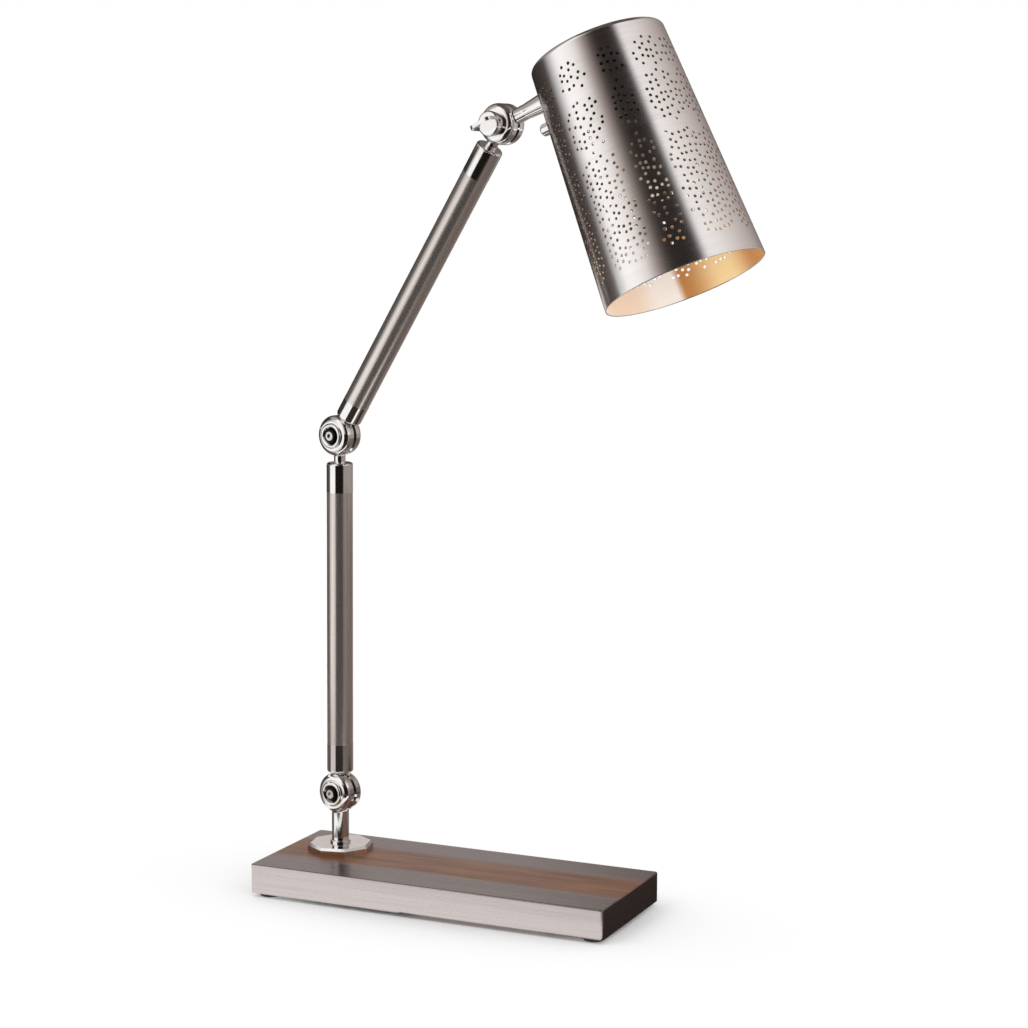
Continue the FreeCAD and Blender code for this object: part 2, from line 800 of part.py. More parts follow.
def main():
    """Build every piece in place and write one STEP file for each."""
    os.makedirs("parts", exist_ok=True)
    at_stem = FreeCAD.Placement(Vec(stem_x, stem_y, 0), FreeCAD.Rotation())
    swivel = at_stem.multiply(FreeCAD.Placement(ORIGIN, FreeCAD.Rotation(Z_AXIS, swivel_angle)))
    at_pivot_1 = swivel.multiply(FreeCAD.Placement(pivot_1, FreeCAD.Rotation()))
    first_turn = FreeCAD.Placement(ORIGIN, FreeCAD.Rotation(Y_AXIS, lower_arm_lean))
    lower_arm = at_pivot_1.multiply(first_turn)
    step = FreeCAD.Placement(Vec(0, 0, arm_pivot_distance), FreeCAD.Rotation())
    lean = FreeCAD.Placement(ORIGIN, FreeCAD.Rotation(Y_AXIS, upper_arm_lean - lower_arm_lean))
    at_pivot_2 = lower_arm.multiply(step).multiply(lean)
    head_turn = FreeCAD.Rotation(Y_AXIS, -head_tilt - upper_arm_lean)
    at_pivot_3 = at_pivot_2.multiply(step).multiply(FreeCAD.Placement(ORIGIN, head_turn))

    fixed, turning = stem_parts()
    pieces = []
    pieces.append((FreeCAD.Placement(), base_parts()))
    pieces.append((at_stem, fixed))
    pieces.append((swivel, turning))
    pieces.append((at_pivot_1, pivot_parts("pivot_1")))
    pieces.append((lower_arm, arm_parts(
        "lower", lower_gap_bottom, lower_collar_bottom, lower_collar_top,
        lower_gap_top, 1, knuckle_radius,
    )))
    pieces.append((lower_arm.multiply(step), pivot_parts("pivot_2")))
    pieces.append((at_pivot_2, arm_parts(
        "upper", upper_gap_bottom, upper_collar_bottom, upper_collar_top,
        upper_gap_top, -1, head_knuckle_radius,
    )))
    pieces.append((at_pivot_3, head_parts()))
    pieces.append((at_pivot_3, {"thumb_screw": thumb_screw()}))
    for place, shapes in pieces:
        for name, shape in shapes.items():
            final = moved(shape, place)
            box = final.BoundBox
            print(name, final.isValid(), len(final.Solids), round(final.Volume, 1),
                  [round(v, 1) for v in (box.XMin, box.YMin, box.ZMin, box.XMax, box.YMax, box.ZMax)])
            final.exportStep("parts/" + name + ".step")
    for name, place in (("pivot 1", at_pivot_1), ("pivot 2", at_pivot_2), ("pivot 3", at_pivot_3)):
        print(name, [round(v, 4) for v in (place.Base.x, place.Base.y, place.Base.z)])


main()
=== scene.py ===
import json
import logging
import math
import random
from dataclasses import dataclass, field, replace
from enum import Enum, IntEnum
from typing import Any, Iterable, Iterator, Mapping, Sequence, Union

import bpy
from bpy.types import Material, Mesh, NodeSocket, Object, World
from mathutils import Euler, Matrix, Vector
from mathutils.geometry import delaunay_2d_cdt
from mathutils.kdtree import KDTree


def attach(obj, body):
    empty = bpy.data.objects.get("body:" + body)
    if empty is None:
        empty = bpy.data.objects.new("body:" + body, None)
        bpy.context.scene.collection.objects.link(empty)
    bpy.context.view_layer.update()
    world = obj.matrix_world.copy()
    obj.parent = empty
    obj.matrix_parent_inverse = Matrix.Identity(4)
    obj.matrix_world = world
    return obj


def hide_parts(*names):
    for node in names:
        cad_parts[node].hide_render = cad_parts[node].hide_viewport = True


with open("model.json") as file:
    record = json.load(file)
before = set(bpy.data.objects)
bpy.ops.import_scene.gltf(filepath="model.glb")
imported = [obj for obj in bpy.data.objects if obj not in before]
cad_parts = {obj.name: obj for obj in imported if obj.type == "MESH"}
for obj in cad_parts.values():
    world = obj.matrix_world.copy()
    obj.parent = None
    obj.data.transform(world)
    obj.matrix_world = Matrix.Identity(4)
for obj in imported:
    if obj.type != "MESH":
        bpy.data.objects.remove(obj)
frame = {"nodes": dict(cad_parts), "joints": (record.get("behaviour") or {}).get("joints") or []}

# Looks of the adjustable desk lamp, in metres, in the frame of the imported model.
# The origin is the centre of the base on the desk plane, +Z is up, +X runs
# towards the end that the shade hangs over and +Y runs to the back.

LOG = logging.getLogger("desk_lamp")
MM = 0.001
FULL_TURN = 2 * math.pi
WHITE = (1.0, 1.0, 1.0, 1.0)
# Every noise drifts about its mean. Its detail is the number of finer layers.
MEAN = 0.5
SOFT, FINE, RICH, VEINED = 2.0, 3.0, 4.0, 5.0
# A Mix node's colour sockets, by number: its other sockets have the same names.
MIX_FIRST, MIX_SECOND, MIX_RESULT = 6, 7, 2
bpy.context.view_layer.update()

Pair = tuple[float, float]
Triple = tuple[float, float, float]
Colour = tuple[float, float, float]
Corner = tuple[int, Vector]
Face = tuple[int, ...]


def rgba(colour: Colour) -> tuple[float, float, float, float]:
    """Return a colour with full opacity."""
    return (*colour, 1.0)


# Shader expressions


class Value:
    """One output of a shader tree, which Python operators combine."""

    def __init__(self, graph: "Graph", socket: NodeSocket) -> None:
        """Wrap an output socket of a graph's tree."""
        self.graph = graph
        self.socket = socket

    def _math(self, operation: str, first: "Operand", second: "Operand" = 0.0) -> "Value":
        """Return the result of a Math node on two operands."""
        return self.graph.node("ShaderNodeMath", {"operation": operation}, {0: first, 1: second})

    def __add__(self, other: "Operand") -> "Value":
        """Return self + other."""
        return self._math("ADD", self, other)

    def __radd__(self, other: "Operand") -> "Value":
        """Return other + self."""
        return self._math("ADD", other, self)

    def __sub__(self, other: "Operand") -> "Value":
        """Return self - other."""
        return self._math("SUBTRACT", self, other)

    def __rsub__(self, other: "Operand") -> "Value":
        """Return other - self."""
        return self._math("SUBTRACT", other, self)

    def __mul__(self, other: "Operand") -> "Value":
        """Return self * other."""
        return self._math("MULTIPLY", self, other)

    def __rmul__(self, other: "Operand") -> "Value":
        """Return other * self."""
        return self._math("MULTIPLY", other, self)

    def __abs__(self) -> "Value":
        """Return the size of self without its sign."""
        return self._math("ABSOLUTE", self)

    def highest(self, other: "Operand") -> "Value":
        """Return the larger of self and other."""
        return self._math("MAXIMUM", self, other)

    def step(self, low: float, high: float) -> "Value":
        """Return a smooth step, 0 at low and 1 at high; low may be the larger."""
        span = {"Value": self, "From Min": low, "From Max": high}
        return self.graph.node("ShaderNodeMapRange", {"interpolation_type": "SMOOTHSTEP"}, span)


Operand = Union[Value, float, int]


class Graph:
    """A material's or world's node tree, and the one way to add to it."""

    def __init__(self, owner: Union[Material, World]) -> None:
        """Empty the owner's tree and add its output.

        Args:
            owner: The material or world whose tree is filled.
        """
        owner.use_nodes = True
        self.tree = owner.node_tree
        self.tree.nodes.clear()
        world = isinstance(owner, World)
        kind = "ShaderNodeOutputWorld" if world else "ShaderNodeOutputMaterial"
        self.output = self.tree.nodes.new(kind)

    def node(
        self,
        kind: str,
        settings: Mapping[str, Any],
        inputs: Mapping[Union[str, int], Any],
        output: Union[str, int] = 0,
    ) -> Value:
        """Add a node.

        Args:
            kind: The node's type name.
            settings: Its settings, set first; "stops" fills a ramp, in rising order.
            inputs: Values or links for its sockets, by name or number.
            output: The socket that is returned.

        Returns:
            The chosen output.
        """
        made = self.tree.nodes.new(kind)
        for name, setting in settings.items():
            if name != "stops":
                setattr(made, name, setting)
                continue
            elements = made.color_ramp.elements
            for _ in setting[len(elements):]:
                elements.new(1.0)
            for element, (place, colour) in zip(elements, setting):
                element.position, element.color = place, rgba(colour)
        for name, given in inputs.items():
            if isinstance(given, Value):
                self.tree.links.new(given.socket, made.inputs[name])
            else:
                made.inputs[name].default_value = given
        return Value(self, made.outputs[output])

    def stretched(self, vector: Value, scales: Triple) -> Value:
        """Return a vector with each part multiplied."""
        return self.node("ShaderNodeVectorMath", {"operation": "MULTIPLY"}, {0: vector, 1: scales})

    def length(self, vector: Value) -> Value:
        """Return the length of a vector."""
        return self.node("ShaderNodeVectorMath", {"operation": "LENGTH"}, {0: vector}, "Value")

    def noise(self, vector: Value, scale: float = 1.0, detail: float = SOFT) -> Value:
        """Return a soft noise over a vector."""
        inputs = {"Vector": vector, "Scale": scale, "Detail": detail}
        return self.node("ShaderNodeTexNoise", {}, inputs)

    def marks(self, point: Value, density: Triple, detail: float = SOFT) -> Value:
        """Return a noise with so many marks to the metre along x, y and z."""
        return self.noise(self.stretched(point, density), detail=detail)

    def parts(self, vector: Value) -> tuple[Value, Value, Value]:
        """Return the x, y and z of a vector."""
        split = self.node("ShaderNodeSeparateXYZ", {}, {0: vector}).socket.node
        return tuple(Value(self, output) for output in split.outputs)

    def blend(self, share: Operand, first: Any, second: Any) -> Value:
        """Return a mix of two colours or links: the first where share is 0."""
        ends = {MIX_FIRST: first, MIX_SECOND: second}
        for key, given in ends.items():
            ends[key] = given if isinstance(given, Value) else rgba(given)
        return self.node("ShaderNodeMix", {"data_type": "RGBA"}, {0: share, **ends}, MIX_RESULT)

    def bump(self, height: Value, depth: float) -> Value:
        """Return a normal that a height between 0 and 1 tilts, depth being in metres."""
        return self.node("ShaderNodeBump", {}, {"Height": height, "Distance": depth})

    def background_rays(self) -> Value:
        """Return 1 for the rays that see the white background."""
        rays = self.node("ShaderNodeLightPath", {}, {}).socket.node.outputs
        seen = Value(self, rays["Is Camera Ray"])
        for name in ("Is Glossy Ray", "Is Transmission Ray"):
            seen = seen.highest(Value(self, rays[name]))
        return seen

    def finish(self, shader: Value) -> None:
        """Link a shader to the tree's output."""
        self.tree.links.new(shader.socket, self.output.inputs["Surface"])


# Finishes


@dataclass(frozen=True)
class Place:
    """Where a piece's own axes lie: a point, a turn about Z, then one about Y."""

    origin: Triple = (0.0, 0.0, 0.0)
    about_z: float = 0.0
    about_y: float = 0.0

    def matrix(self) -> Matrix:
        """Return the matrix from the piece's axes to the lamp's."""
        turn = Euler((0.0, self.about_y, self.about_z)).to_matrix().to_4x4()
        return Matrix.Translation(self.origin) @ turn

    def within(self, graph: Graph) -> Value:
        """Return a surface point in the piece's own axes."""
        turn = (0.0, self.about_y, self.about_z)
        point = graph.node("ShaderNodeTexCoord", {}, {}, "Object")
        inputs = {"Vector": point, "Location": self.origin, "Rotation": turn}
        return graph.node("ShaderNodeMapping", {"vector_type": "TEXTURE"}, inputs)


@dataclass(frozen=True)
class Finish:
    """What every finish has: a name, a main colour and a main roughness.

    In every finish, spread is how far the roughness drifts, depth how deep the
    marks are, and a pair named "over" holds the two ends of a smooth step.
    """

    name: str
    colour: Colour
    roughness: float
    place: Place = Place()

    def sockets(self, graph: Graph) -> dict[str, Any]:
        """Return the values and links of the main shader's sockets."""
        raise NotImplementedError

    def material(self) -> Material:
        """Return the finished material."""
        made = bpy.data.materials.new(self.name)
        graph = Graph(made)
        given = self.sockets(graph)
        graph.finish(graph.node("ShaderNodeBsdfPrincipled", {}, given))
        made.diffuse_color = rgba(self.colour)
        return made


@dataclass(frozen=True)
class BrushedMetal(Finish):
    """Metal brushed along one of its own axes.

    The three numbers of grain are the brush marks to the metre along x, y and
    z; a small one runs along the marks. The broad streaks are fewer by drift.
    """

    shade: Colour = (0.4, 0.36, 0.34)
    grain: Triple = (900.0, 900.0, 12.0)
    spread: float = 0.12
    streak: float = 0.5
    depth: float = 0.00001
    metallic: float = 1.0
    drift: float = 0.22
    fine_weight: float = 1.6
    broad_weight: float = 1.4
    bias: float = 0.32

    def sockets(self, graph: Graph) -> dict[str, Any]:
        """Return streaked colour, drifting roughness and a fine bump."""
        point = self.place.within(graph)
        fine = graph.marks(point, self.grain, FINE)
        broad = graph.marks(point, tuple(number * self.drift for number in self.grain))
        weighed = (fine - MEAN) * self.fine_weight + (broad - MEAN) * self.broad_weight
        streaks = weighed * self.streak + self.bias * self.streak
        rough = (fine - MEAN) * self.spread + (broad - MEAN) * self.spread + self.roughness
        return {
            "Base Color": graph.blend(streaks.step(0.0, 1.0), self.colour, self.shade),
            "Metallic": self.metallic,
            "Roughness": rough,
            "Normal": graph.bump(fine, self.depth),
        }


@dataclass(frozen=True)
class PolishedMetal(Finish):
    """Bright plated metal with faint wiping marks and a little haze."""

    haze: float = 0.06
    tint: Colour = (0.8, 0.77, 0.745)
    wipes: Triple = (90.0, 90.0, 60.0)
    lines: Triple = (1800.0, 1800.0, 260.0)
    worn_over: Pair = (0.42, 0.68)
    tinted: float = 0.35
    spread: float = 0.03
    depth: float = 0.000002

    def sockets(self, graph: Graph) -> dict[str, Any]:
        """Return a nearly even mirror with wiped patches."""
        point = self.place.within(graph)
        worn = graph.marks(point, self.wipes, FINE).step(*self.worn_over)
        lines = graph.marks(point, self.lines)
        return {
            "Base Color": graph.blend(worn * self.tinted, self.colour, self.tint),
            "Metallic": 1.0,
            "Roughness": worn * self.haze + (lines - MEAN) * self.spread + self.roughness,
            "Normal": graph.bump(lines, self.depth),
        }


@dataclass(frozen=True)
class BlackenedAndPaintedShade(Finish):
    """A turned piece along y, bare at one radius and dark at another.

    On the screw heads the dark is blackening; in the cup washers' bowls it is
    painted shade.
    """

    bare: Colour = (0.78, 0.76, 0.74)
    bare_at: float = 0.0026
    black_at: float = 0.0033
    scuffs: float = 1500.0
    ragged: float = 0.0008
    spread: float = 0.12
    depth: float = 0.00001

    def sockets(self, graph: Graph) -> dict[str, Any]:
        """Return the bare and the black part with a scuffed roughness."""
        point = self.place.within(graph)
        reach = graph.length(graph.stretched(point, (1.0, 0.0, 1.0)))
        scuffs = graph.noise(point, self.scuffs, FINE)
        black = (reach + (scuffs - MEAN) * self.ragged).step(self.bare_at, self.black_at)
        return {
            "Base Color": graph.blend(black, self.bare, self.colour),
            "Metallic": 1.0,
            "Roughness": (scuffs - MEAN) * self.spread + self.roughness,
            "Normal": graph.bump(scuffs, self.depth),
        }


@dataclass(frozen=True)
class BandedBase(BrushedMetal):
    """The base's brushed sheet, whose top has a brown grained middle.

    The whole top is coloured darker than the sides: painted reflection.
    """

    top: float = max(corner[2] for corner in frame["nodes"]["base_cover"].bound_box)
    below_top_over: Pair = (0.0006, 0.0001)
    middle: float = 0.001
    band_over: Pair = (0.0295, 0.015)
    wander: float = 0.012
    wander_marks: Triple = (9.0, 60.0, 0.0)
    vein_marks: Triple = (10.0, 520.0, 0.0)
    figure_marks: Triple = (14.0, 95.0, 0.0)
    vein_weight: float = 0.55
    wood_over: Pair = (0.36, 0.62)
    brown: Colour = (0.25, 0.098, 0.036)
    dark_brown: Colour = (0.105, 0.042, 0.02)
    painted_dark_top: Colour = (0.27, 0.232, 0.224)
    band_lacquer: float = 0.9
    band_roughness: float = 0.06
    band_spread: float = 0.12
    coat: float = 0.12
    coat_roughness: float = 0.22
    specular: float = 0.22

    def sockets(self, graph: Graph) -> dict[str, Any]:
        """Return the brushed sheet with the grained middle laid over it."""
        metal = super().sockets(graph)
        point = self.place.within(graph)
        _, across, up = graph.parts(point)
        on_top = up.step(*(self.top - below for below in self.below_top_over))
        wander = graph.marks(point, self.wander_marks, FINE) - MEAN
        band = on_top * abs(across - self.middle + wander * self.wander).step(*self.band_over)
        veins = graph.marks(point, self.vein_marks, VEINED)
        figure = graph.marks(point, self.figure_marks, FINE)
        wood = veins * self.vein_weight + figure * (1.0 - self.vein_weight)
        brown = graph.blend(wood.step(*self.wood_over), self.dark_brown, self.brown)
        # Painted reflection: the whole top takes a darker colour than the sides.
        sheet = graph.blend(on_top, metal["Base Color"], self.painted_dark_top)
        duller = self.band_roughness + (veins - MEAN) * self.band_spread
        return {
            "Base Color": graph.blend(band, sheet, brown),
            "Metallic": 1.0 - band * self.band_lacquer,
            "Roughness": metal["Roughness"] + band * duller,
            "Coat Weight": band * self.coat,
            "Coat Roughness": self.coat_roughness,
            "Specular IOR Level": self.specular,
            "Normal": metal["Normal"],
        }


@dataclass(frozen=True)
class GoldWash(BrushedMetal):
    """The shade's lining: a gold wash that carries painted light.

    One side has a painted reflection, near white and then peach; the brown bands
    off its middle and the dark brown deep inside are painted shade. It glows
    faintly, which stands for the light that bounces between its walls.
    """

    # These four colours are painted light: a painted reflection and painted shade.
    pale: Colour = (1.0, 0.95, 0.9)
    peach: Colour = (0.95, 0.76, 0.6)
    brown: Colour = (0.58, 0.27, 0.09)
    deep: Colour = (0.12, 0.082, 0.054)
    painted_reflection_over: Pair = (-0.027, -0.032)
    painted_reflection_peach_over: Pair = (-0.04, -0.049)
    painted_shade_band_over: Pair = (0.003, 0.026)
    painted_deep_shade_over: Pair = (-0.127, -0.106)
    painted_reflection_lacquer: float = 0.8
    painted_bounce_glow: float = 0.24

    def sockets(self, graph: Graph) -> dict[str, Any]:
        """Return the brushed gold with its painted reflection and its painted shade."""
        metal = super().sockets(graph)
        across, _, up = graph.parts(self.place.within(graph))
        # Painted reflection: one side of the lining turns near white, then peach further round.
        pale = across.step(*self.painted_reflection_over)
        # Painted shade: brown bands off the middle of the lining.
        off_middle = abs(across).step(*self.painted_shade_band_over)
        gold = graph.blend(off_middle, metal["Base Color"], self.brown)
        light = graph.blend(across.step(*self.painted_reflection_peach_over), self.pale, self.peach)
        near = graph.blend(pale, gold, light)
        # Painted shade: the colour turns dark brown deep inside the shade.
        metal["Base Color"] = graph.blend(up.step(*self.painted_deep_shade_over), near, self.deep)
        metal["Metallic"] = self.metallic - pale * (self.metallic * self.painted_reflection_lacquer)
        # Painted glow: the lining emits its own colour, which stands for bounced light.
        metal["Emission Color"] = metal["Base Color"]
        metal["Emission Strength"] = self.painted_bounce_glow
        return metal


@dataclass(frozen=True)
class Moulded(Finish):
    """Rubber, plastic or cast iron: mottled, matt and slightly rough."""

    light: Colour = (0.05, 0.05, 0.05)
    metallic: float = 0.0
    pebbles: float = 900.0
    clouds: float = 0.08
    light_over: Pair = (0.35, 0.7)
    spread: float = 0.2
    depth: float = 0.00004

    def sockets(self, graph: Graph) -> dict[str, Any]:
        """Return a mottled colour with a pebbled surface."""
        point = self.place.within(graph)
        pebbles = graph.noise(point, self.pebbles, RICH)
        clouds = graph.noise(point, self.pebbles * self.clouds)
        return {
            "Base Color": graph.blend(clouds.step(*self.light_over), self.colour, self.light),
            "Metallic": self.metallic,
            "Roughness": (clouds - MEAN) * self.spread + self.roughness,
            "Normal": graph.bump(pebbles, self.depth),
        }


@dataclass(frozen=True)
class FrostedGlass(Finish):
    """The bulb's opal glass with faint clouds of thinner glass."""

    thin: Colour = (0.84, 0.8, 0.72)
    clouds: float = 120.0
    thin_over: Pair = (0.3, 0.75)
    spread: float = 0.15
    coat: float = 0.3
    depth: float = 0.00001

    def sockets(self, graph: Graph) -> dict[str, Any]:
        """Return a milky glass with faint clouds."""
        clouds = graph.noise(self.place.within(graph), self.clouds, FINE)
        return {
            "Base Color": graph.blend(clouds.step(*self.thin_over), self.colour, self.thin),
            "Roughness": (clouds - MEAN) * self.spread + self.roughness,
            "Coat Weight": self.coat,
            "Normal": graph.bump(clouds, self.depth),
        }


# Meshes


def mesh_of(name: str, points: Iterable[Vector], faces: Iterable[Face]) -> Mesh:
    """Return a new mesh of points and faces."""
    mesh = bpy.data.meshes.new(name)
    mesh.from_pydata(list(points), [], list(faces))
    return mesh


def rectangle(low: Pair, high: Pair, height: float = 0.0) -> list[Vector]:
    """Return the corners of a level rectangle between two opposite ones."""
    (left, front), (right, back) = low, high
    corners = ((left, front), (right, front), (right, back), (left, back))
    return [Vector((*corner, height)) for corner in corners]


def shown(name: str, data: Any) -> Object:
    """Return a new object for a mesh, light or camera, linked to the scene."""
    made = bpy.data.objects.new(name, data)
    bpy.context.scene.collection.objects.link(made)
    return made


class Side(IntEnum):
    """The two sides of the shade's wall, as numbers of its finishes."""

    OUTSIDE = 0
    INSIDE = 1


@dataclass(frozen=True)
class Row:
    """One ring of a turned form: its radius and height, and its normal's."""

    reach: float
    height: float
    out: float
    up: float

    def spot(self, turn: float) -> Vector:
        """Return the ring's point at an angle."""
        return Vector((self.reach * math.cos(turn), self.reach * math.sin(turn), self.height))

    def normal(self, turn: float) -> Vector:
        """Return the ring's normal at an angle."""
        return Vector((self.out * math.cos(turn), self.out * math.sin(turn), self.up)).normalized()


def arc(reach: float, height: float, radius: float, turns: Iterable[float]) -> list[Row]:
    """Return the rows of a rounded edge: its centre, its radius and each row's angle."""
    ends = [(math.cos(turn), math.sin(turn)) for turn in turns]
    return [Row(reach + radius * out, height + radius * up, out, up) for out, up in ends]


@dataclass
class Sheet:
    """A mesh under way: points, faces, and the normal at each face's corners."""

    points: list[Vector] = field(default_factory=list)
    faces: list[Face] = field(default_factory=list)
    normals: list[Vector] = field(default_factory=list)
    sides: list[int] = field(default_factory=list)

    def point(self, place: Vector) -> int:
        """Add a point and return its number."""
        self.points.append(place)
        return len(self.points) - 1

    def face(self, corners: Sequence[Corner], side: Side, flip: bool = False) -> None:
        """Add a face.

        Args:
            corners: The point number and the normal of each corner.
            side: The side that the face lies on.
            flip: Whether the corners stand in reverse order.
        """
        indices, normals = zip(*(reversed(corners) if flip else corners))
        self.faces.append(indices)
        self.normals += normals
        self.sides.append(int(side))

    def turned(
        self,
        start: Sequence[int],
        rows: Sequence[Row],
        side: Side,
        flip: bool,
        end: Sequence[int] = (),
    ) -> list[int]:
        """Carry on from a ring of points round the z axis.

        Args:
            start: The ring's point numbers.
            rows: The start's own row, then each further ring.
            side: The side that the faces lie on.
            flip: Whether the faces turn the other way.
            end: The points of the last ring, if it is there already.

        Returns:
            The last ring's point numbers.
        """
        ring = list(start)
        turns = [math.atan2(self.points[index].y, self.points[index].x) for index in ring]
        for before, after in zip(rows, rows[1:]):
            if end and after is rows[-1]:
                following = list(end)
            elif after.reach:
                following = [self.point(after.spot(turn)) for turn in turns]
            else:
                following = [self.point(after.spot(0.0))] * len(turns)
            for index, turn in enumerate(turns):
                far = (index + 1) % len(turns)
                corners = [
                    (ring[index], before.normal(turn)),
                    (ring[far], before.normal(turns[far])),
                    (following[far], after.normal(turns[far])),
                    (following[index], after.normal(turn)),
                ]
                if following[far] == following[index]:
                    corners.pop()
                self.face(corners, side, flip)
            ring = following
        return ring

    def piece(self, name: str, place: Matrix, materials: Iterable[Material]) -> Object:
        """Make the object.

        Args:
            name: The piece's name.
            place: The matrix from the sheet's axes to the lamp's.
            materials: The material of each side.

        Returns:
            The object, its place held in its mesh.
        """
        mesh = mesh_of(name, (place @ point for point in self.points), self.faces)
        for material in materials:
            mesh.materials.append(material)
        mesh.polygons.foreach_set("material_index", self.sides)
        mesh.polygons.foreach_set("use_smooth", [True] * len(self.faces))
        turn = place.to_3x3()
        mesh.normals_split_custom_set([turn @ normal for normal in self.normals])
        mesh.update()
        return shown(name, mesh)


@dataclass(frozen=True)
class Hole:
    """A hole of the shade: its angle, depth below the top, radius and sides.

    Its room is the metal left between its edge and the next hole's.
    """

    angle: float
    depth: float
    radius: float
    sides: int = 14
    room: float = 0.0011


@dataclass(frozen=True)
class Cluster:
    """One patch of holes of a band, in millimetres from the shade's top."""

    middle: float
    half_height: float
    half_width: float
    fullness: float
    pitch: float


class Band(Enum):
    """The two widths of the bands of holes, each with its three patches."""

    WIDE = (
        Cluster(23.0, 9.8, 11.0, 2.3, 4.9),
        Cluster(53.8, 16.2, 13.0, 3.0, 4.6),
        Cluster(110.2, 34.4, 14.8, 7.0, 4.6),
    )
    NARROW = (
        Cluster(23.5, 9.8, 8.4, 2.3, 4.8),
        Cluster(53.8, 15.0, 7.4, 3.0, 4.7),
        Cluster(110.2, 34.4, 7.8, 7.0, 4.4),
    )


@dataclass
class Net:
    """The shade's wall unrolled: its (angle, depth) points, and point numbers.

    The numbers make the triangles round the holes, the holes' loops, and the
    rims at the top and at the bottom.
    """

    points: list[Pair]
    triangles: list[Face]
    loops: list[list[int]]
    rims: list[list[int]]


